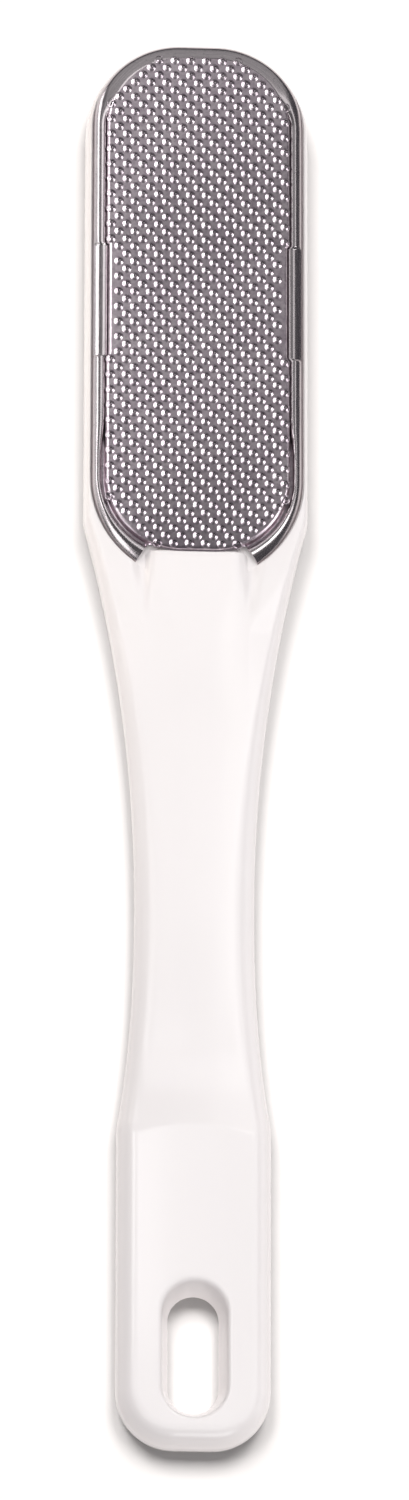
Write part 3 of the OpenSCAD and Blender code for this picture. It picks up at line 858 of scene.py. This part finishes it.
def make_frame():
    inner_rail, outer_rail, stations = frame_rails()
    sections = {name: piece(name, [(share, OVERALL / 2 + rise, 0) for share, rise in shape], [])
                for name, shape in STRIP_SECTIONS.items()}
    strip = piece("rasp_frame_strip", [(0, 0, 0)], [])
    strip_tree().use(strip, inner_rail=inner_rail, outer_rail=outer_rail, stations=stations,
                     section_points=len(STRIP_SECTIONS["tip_section"]), finish=DRAWN, **sections)
    settle(strip, inner_rail, outer_rail, *sections.values())
    # The cut ends are closed, and all faces turned outwards
    build = bmesh.new()
    build.from_mesh(strip.data)
    bmesh.ops.holes_fill(build, edges=[edge for edge in build.edges if edge.is_boundary])
    bmesh.ops.recalc_face_normals(build, faces=build.faces)
    build.to_mesh(strip.data)
    build.free()
    shade(strip, SHEET_SHARP)
    return strip


# Rasp plate

# Sections of the plate, as distances outside its wall with a drop below its top or a height over the flange:
# its rounded upper edge, its foot, its foot where the tongue meets it, and its hollow underside
PLATE_TOP_EDGE = [(-0.65, 0.0), (-0.50, 0.015), (-0.35, 0.065), (-0.22, 0.15), (-0.12, 0.26), (-0.05, 0.40),
                  (-0.01, 0.54), (0.0, 0.66)]
PLATE_FOOT = [(0.0, 0.40), (0.02, 0.24), (0.08, 0.10), (0.18, 0.03), (0.32, 0.0), (1.13, 0.0), (1.18, -0.02),
              (1.20, -0.08), (1.20, -0.33), (1.14, -0.40), (-0.25, -0.40), (-0.37, -0.25)]
TONGUE_FOOT = [(0.0, 0.05), (0.01, 0.03), (0.04, 0.012), (0.09, 0.0), (0.15, 0.0), (0.20, 0.0),
               (0.235, -0.01), (0.25, -0.03), (0.25, -0.05), (0.2, -0.10), (-0.25, -0.35), (-0.37, -0.25)]
PLATE_UNDERSIDE = [(-0.40, 0.80), (-0.50, 0.55), (-0.75, 0.42), (-1.0, 0.40)]
# The lower wall ends at this height over the tongue, and the two feet blend over this width
TONGUE_FOOT_Z, FOOT_BLEND_W = 10.69, 0.3


def plate_outline(outset):
    """The outline at a distance outside the plate's wall, counterclockwise from the middle of its low end."""
    x, r = PLATE_W / 2 - PLATE_R, PLATE_R + outset
    side = side_rows(PLATE_Y0 + PLATE_R, PLATE_Y1 - PLATE_R)[1:-1]
    edge = [(PLATE_W / 2 - PINCH_D * float(pinch(s)) + outset, s) for s in side]
    half = [(t, PLATE_Y0 - outset) for t in np.linspace(0, x, 6)[1:-1]]
    half += arc(x, PLATE_Y0 + PLATE_R, r, -90, 0, 48) + edge + arc(x, PLATE_Y1 - PLATE_R, r, 0, 90, 48)
    half += [(t, PLATE_Y1 + outset) for t in np.linspace(x, 0, 6)[1:-1]]
    half = np.array([(0, PLATE_Y0 - outset)] + half + [(0, PLATE_Y1 + outset)])
    return np.concatenate([half, (half[1:-1] * (-1, 1))[::-1]])


def plate_skin():
    """The plain sheet: a flat field with a rounded edge, a short wall on a foot, and a hollow underside."""
    wall = plate_outline(0)
    size = len(wall)
    tongue = smooth((TONGUE_W / 2 + TONGUE_GAP - np.abs(wall[:, 0])) / FOOT_BLEND_W)
    tongue = tongue * (wall[:, 1] < PLATE_MID)

    def below_top(section):
        return [np.c_[plate_outline(outset), np.full(size, PLATE_TOP - drop)] for outset, drop in section]

    rings = below_top(PLATE_TOP_EDGE)
    for (out_a, up_a), (out_b, up_b) in zip(PLATE_FOOT, TONGUE_FOOT):
        flat = plate_outline(out_a) * (1 - tongue[:, None]) + plate_outline(out_b) * tongue[:, None]
        rings.append(np.c_[flat, mix(FLANGE_TOP + up_a, TONGUE_FOOT_Z + up_b, tongue)])
    rings += below_top(PLATE_UNDERSIDE)
    faces = [list(range(size)), [(len(rings) - 1) * size + n for n in range(size)][::-1]]
    for k in range(len(rings) - 1):
        a, b = k * size, (k + 1) * size
        faces += [(a + (n + 1) % size, a + n, b + n, b + (n + 1) % size) for n in range(size)]
    return piece("rasp_plate_sheet", np.concatenate(rings), faces, RASP_STEEL)


# One burr's rings from its foot over the rim into the pit: radius, height, and share of the mouth's shift
BURR_RINGS = [(0.90, -0.05, 0.0), (0.82, 0.0, 0.0), (0.68, 0.06, 0.02), (0.52, 0.13, 0.08),
              (0.41, 0.185, 0.14), (0.33, 0.225, 0.19), (0.26, 0.14, 0.22), (0.17, -0.04, 0.23)]
MOUTH = np.array([0.66, 0.75])
# The faces beyond this ring belong to the pit, which is given painted shade, and the rim is torn by a small
# wave
PIT_RING, TEAR = 5, 0.03


def burr():
    """One burr: the sheet bursts upward round a hole, and its mouth leans to the far right."""
    sides = 10
    points, faces, pits = [], [], []
    for radius, height, shift in BURR_RINGS:
        for n in range(sides):
            turn = 2 * math.pi * (n + 0.5) / sides
            x, y = radius * math.cos(turn), radius * math.sin(turn)
            tear = TEAR * math.sin(3 * turn + 1.0) * clamp(height * 4)
            x, y, z = x + MOUTH[0] * shift, y + MOUTH[1] * shift, height + tear * height * 2
            points.append((x, OVERALL / 2 + y, z))
    for k in range(len(BURR_RINGS) - 1):
        a, b = k * sides, (k + 1) * sides
        faces += [(a + n, a + (n + 1) % sides, b + (n + 1) % sides, b + n) for n in range(sides)]
        pits += [k >= PIT_RING] * sides
    faces += [[(len(BURR_RINGS) - 1) * sides + n for n in range(sides)], list(range(sides))[::-1]]
    # The disc that closes the hole belongs to the pit and gets painted shade too; the foot's disc does not
    pits += [True, False]
    thing = piece("burr", points, faces, RASP_STEEL)
    thing.data.shade_smooth()
    thing.data.attributes.new("pit", "BOOLEAN", "FACE").data.foreach_set("value", pits)
    return thing


# The field of burrs: a square grid on its corner, cut to the plate's form, narrower where its sides draw in
PITCH, FIELD_HALF_W, FIELD_HALF_L, FIELD_CORNER = 2.0, 15.6, 45.3, 52.4
DRAWN_HALF_L, DRAWN_HALF_W = 10.0, 15.0


def make_plate():
    skin, one = plate_skin(), burr()
    shade(skin, SHEET_SHARP)
    # The burrs' pits get the near-black finish, painted shade for their holes
    burr_tree().use(
        skin, burr=one, pitch=PITCH * MM, half_width=FIELD_HALF_W * MM, half_length=FIELD_HALF_L * MM,
        corner_sum=FIELD_CORNER * MM, pinch_half=DRAWN_HALF_L * MM, pinched_width=DRAWN_HALF_W * MM,
        centre=(0.0, (PLATE_MID - OVERALL / 2) * MM, PLATE_TOP * MM), count=38, turn=0.16, spread=0.04,
        seed=7, steel=RASP_STEEL, dark=PAINTED_PIT_SHADE)
    settle(skin, one)
    lower_outer_burrs(skin.data)
    return skin


def lower_outer_burrs(mesh):
    """The outermost burrs follow the plate's rounded edge down."""
    spots = np.zeros(len(mesh.vertices) * 3)
    mesh.vertices.foreach_get("co", spots)
    spots = spots.reshape(-1, 3)
    along = spots[:, 1] / MM + OVERALL / 2
    x, y = np.abs(spots[:, 0]) / MM, np.abs(along - PLATE_MID)
    half_w, half_l = PLATE_W / 2, (PLATE_Y1 - PLATE_Y0) / 2
    qx, qy = x - half_w + PLATE_R, y - half_l + PLATE_R
    inside = np.where((qx > 0) & (qy > 0), PLATE_R - np.hypot(qx, qy),
                      np.minimum(half_w - PINCH_D * pinch(along) - x, half_l - y))
    edge = np.array(PLATE_TOP_EDGE)[::-1]
    drop = np.interp(inside, -edge[:, 0], edge[:, 1])
    # The burrs' own points lie above the foot's depth, and off the sheet's flat
    foot = -BURR_RINGS[0][1] + 0.01
    burrs = (spots[:, 2] > (PLATE_TOP - foot) * MM) & (np.abs(spots[:, 2] - PLATE_TOP * MM) > 1e-7)
    spots[:, 2] -= np.where(burrs, drop * MM, 0)
    mesh.vertices.foreach_set("co", spots.ravel())
    mesh.update()


# Emery sheet

# Height and inset of the cloth's edge, from its hollow underside up
EMERY_EDGE = [(0.16, 0.35), (0.13, 0.12), (0.16, 0.03), (0.22, 0.0), (0.62, 0.0), (0.68, 0.03), (0.70, 0.08)]
# One coarse grain, an eight-sided chip, and how many of them lie on a square metre
CHIP = [(0.11, 0, 0), (-0.10, 0.01, 0), (0, 0.12, 0.01), (0.01, -0.11, 0), (0, 0, 0.10), (0.02, 0, -0.10)]
CHIP_SIDES = [(0, 2, 4), (2, 1, 4), (1, 3, 4), (3, 0, 4), (2, 0, 5), (1, 2, 5), (3, 1, 5), (0, 3, 5)]
GRAINS = 3.2e6


def make_emery():
    contours = []
    for z, inset in EMERY_EDGE:
        half = EMERY_L / 2 - inset
        flat = rounded_outline(EMERY_W - 2 * inset, EMERY_MID - half, EMERY_MID + half, EMERY_R - inset, 20)
        contours.append([(px, py, z) for px, py in flat])
    cloth = loft("emery_cloth", contours, EMERY)
    gritted = [face.normal.z < -0.5 for face in cloth.data.polygons]
    cloth.data.attributes.new("gritted", "BOOLEAN", "FACE").data.foreach_set("value", gritted)
    shade(cloth, SHEET_SHARP)
    grain = piece("grain", [(px, OVERALL / 2 + py, pz) for px, py, pz in CHIP], CHIP_SIDES, EMERY)
    grit_tree().use(cloth, grain=grain, density=GRAINS, seed=11, any_turn=6.28, smallest=0.6, finish=EMERY)
    return settle(cloth, grain)


rasp_frame = make_frame()
rasp_plate = make_plate()
emery_sheet = make_emery()

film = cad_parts["adhesive_film"]
film.data.materials.clear()
film.data.materials.append(ADHESIVE)

for thing, node, slot in [(front_shell, "front_shell", "shell"), (rear_shell, "rear_shell", "shell"),
                          (rasp_plate, "rasp_plate", "plate_steel"),
                          (rasp_frame, "rasp_frame", "frame_steel"), (emery_sheet, "emery_sheet", "emery")]:
    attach(thing, "root")
    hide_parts(node)


# Floor, light and camera

FLOOR_HALF, FLOOR_Z = 3.0, -0.00005


def pale_floor():
    """A plain pale floor, just below the file."""
    f = Finish("pale_floor", Specular_IOR_Level=0.1)
    cloud = f.noise(2.0, 2.0)
    f.set("Base Color", f.blend(cloud, (0.50, 0.50, 0.50, 1), (0.52, 0.52, 0.52, 1)))
    f.set("Roughness", 0.8 + 0.1 * cloud)
    mesh = bpy.data.meshes.new("floor")
    corners = [(x * FLOOR_HALF, y * FLOOR_HALF, FLOOR_Z) for x, y in ((-1, -1), (1, -1), (1, 1), (-1, 1))]
    mesh.from_pydata(corners, [], [(0, 1, 2, 3)])
    mesh.materials.append(f.material)
    thing = bpy.data.objects.new("floor", mesh)
    bpy.context.scene.collection.objects.link(thing)
    return thing


def group(name, *things):
    """A set of things that one light falls on."""
    held = bpy.data.collections.new(name)
    for thing in things:
        held.objects.link(thing)
    return held


def softbox(name, towards, distance, size, power, receivers, target, colour=(1, 1, 1)):
    """A soft rectangular light in a direction and at a distance from its target, for some pieces alone."""
    lamp = bpy.data.lights.new(name, "AREA")
    lamp.shape, lamp.size, lamp.size_y = "RECTANGLE", size[0], size[1]
    lamp.energy, lamp.color = power, colour
    thing = bpy.data.objects.new(name, lamp)
    bpy.context.scene.collection.objects.link(thing)
    away = Vector(towards).normalized()
    thing.location = Vector(target) + away * distance
    across = (Vector((1, 0, 0)) - away * away.x).normalized()
    thing.rotation_euler = Matrix((across, away.cross(across), away)).transposed().to_euler()
    thing.light_linking.receiver_collection = receivers


floor = pale_floor()
plastic_parts = group("lit_plastic", front_shell, rear_shell)
metal_parts = group("lit_metal", rasp_plate, rasp_frame, emery_sheet)
plate_parts = group("lit_plate", rasp_plate, emery_sheet)
frame_parts = group("lit_frame", rasp_frame)
stage_parts = group("lit_floor", floor)

# Panels straight over the plastic, with gaps between them that its faces mirror: name, place, size, power
PANEL_ABOVE, PLASTIC_Z = 0.60, 0.005
for name, x, y, size, power in [
        ("lower_panel", 0.07, -0.1468, (0.86, 0.4865), 2.05),
        ("right_panel", 0.2825, 0.348, (0.435, 0.5035), 1.165),
        ("left_panel", -0.2175, 0.455, (0.565, 0.29), 0.88),
        ("shoulder_panel", -0.2175, 0.17, (0.565, 0.09), 0.33)]:
    softbox(name, (0, 0, 1), PANEL_ABOVE, size, power, plastic_parts, (x, y, PLASTIC_Z))

# Lights for the plastic's edges and the grip: name, direction, distance, size, power, target
for name, towards, distance, size, power, target in [
        ("grip_softbox", (-0.025, 0.051, 0.318), 0.323, (0.075, 0.065), 0.042, (0, -0.058, PLASTIC_Z)),
        ("grip_side", (-0.157, 0.056, 0.285), 0.330, (0.10, 0.075), 0.075, (0, -0.058, PLASTIC_Z)),
        ("neck_softbox", (0.09, 0.09, 0.31), 0.335, (0.10, 0.05), 0.035, (0, -0.036, PLASTIC_Z)),
        ("right_side", (0.98, 0.0, 0.20), 0.40, (0.20, 0.50), 0.33, (0, 0, PLASTIC_Z)),
        ("left_side", (-0.98, 0.0, 0.20), 0.10, (0.08, 0.08), 0.0085, (0, 0.035, PLASTIC_Z)),
        ("end_softbox", (0.25, -0.85, 0.48), 0.15, (0.08, 0.05), 0.035, (0, -0.11, 0.008))]:
    softbox(name, towards, distance, size, power, plastic_parts, target)
softbox("rim_softbox", (-0.90, 0.10, 0.45), 0.12, (0.05, 0.15), 0.048, plastic_parts, (-0.02, 0.085, 0.006),
        (1.0, 0.92, 0.78))

# The floor has its own lights: a wide pair over its sides, and a weak one from the grip's end
FLOOR_LIGHT_AWAY, WARM = 6.0, (1.0, 0.96, 0.94)
for name, towards, size, power, x in [("floor_left", (-0.02, 0.30, 0.95), (1.7, 2.8), 394.0, -1.4),
                                      ("floor_right", (-0.02, 0.30, 0.95), (1.7, 2.8), 362.0, 1.0),
                                      ("floor_front", (0.0, -0.35, 0.93), (1.8, 1.5), 80.0, 0.0)]:
    softbox(name, towards, FLOOR_LIGHT_AWAY, size, power, stage_parts, (x, 0, 0), WARM)

# Lights for the metal, all aimed at the middle of the rasp: name, direction, distance, size, power, pieces
RASP_CENTRE = (0, 0.08, 0.011)
for name, towards, distance, size, power, receivers in [
        ("left_softbox", (-0.67, 0.28, 0.69), 0.35, (0.18, 0.38), 0.97, plate_parts),
        ("right_softbox", (0.72, -0.20, 0.67), 0.35, (0.13, 0.20), 0.42, plate_parts),
        ("metal_fill", (0.0, 0.65, 0.76), 0.9, (1.0, 0.7), 0.74, metal_parts),
        ("field_fill", (0.035, 0.175, 0.98), 0.26, (0.16, 0.09), 0.006, plate_parts),
        ("strip_softbox", (-0.80, 0.28, 0.50), 0.35, (0.09, 0.38), 0.33, frame_parts),
        ("strip_edge", (-0.96, 0.10, 0.18), 0.35, (0.16, 0.45), 0.16, frame_parts),
        ("strip_inside", (0.40, 0.20, 0.88), 0.35, (0.10, 0.28), 0.07, frame_parts),
        ("left_end", (-0.72, -0.49, 0.47), 0.35, (0.14, 0.16), 0.16, frame_parts),
        ("right_end", (0.47, -0.14, 0.87), 0.35, (0.22, 0.10), 0.22, frame_parts),
        ("plate_left_edge", (-0.79, -0.56, 0.244), 0.35, (0.15, 0.08), 0.15, plate_parts),
        ("plate_right_edge", (0.85, -0.50, 0.165), 0.35, (0.15, 0.08), 0.15, plate_parts)]:
    softbox(name, towards, distance, size, power, receivers, RASP_CENTRE)
# A small one close to the left strip's crest
softbox("crest_softbox", (0.17, 0.28, 0.95), 0.042, (0.014, 0.10), 0.0056, frame_parts,
        (-0.0178, 0.075, 0.0115))

# The dim room round the lights, a little lighter above
world = bpy.data.worlds.new("studio")
world.use_nodes = True
bpy.context.scene.world = world
sky = Wiring(world.node_tree)
sky.tree.nodes.clear()
height = sky.add("ShaderNodeSeparateXYZ", None, {0: sky.add("ShaderNodeTexCoord").out("Generated")}).out("Z")
level = sky.ramp(height, (0.0, (0.07, 0.068, 0.078)), (0.35, (0.085, 0.083, 0.092)),
                 (1.0, (0.105, 0.103, 0.107)))
glow = sky.add("ShaderNodeBackground", None, {"Color": level, "Strength": 1.0})
sky.add("ShaderNodeOutputWorld", None, {"Surface": glow})

# A long lens from far above the grip's end; its turns are in degrees
SENSOR, LENS, EYE = 36.0, 247.68, (-0.1150, -0.5088, 1.7490)
TURNS = [(-3.83, "Y"), (16.16, "X"), (0.138, "Z")]
camera = bpy.data.cameras.new("camera")
camera.sensor_fit, camera.sensor_width, camera.sensor_height = "VERTICAL", SENSOR, SENSOR
camera.lens = LENS
camera.clip_start, camera.clip_end = 0.05, 50.0
view = bpy.data.objects.new("camera", camera)
bpy.context.scene.collection.objects.link(view)
place = Matrix.Translation(EYE)
for turn, axis in TURNS:
    place = place @ Matrix.Rotation(math.radians(turn), 4, axis)
view.matrix_world = place
bpy.context.scene.camera = view
bpy.context.scene.view_settings.view_transform = "Standard"
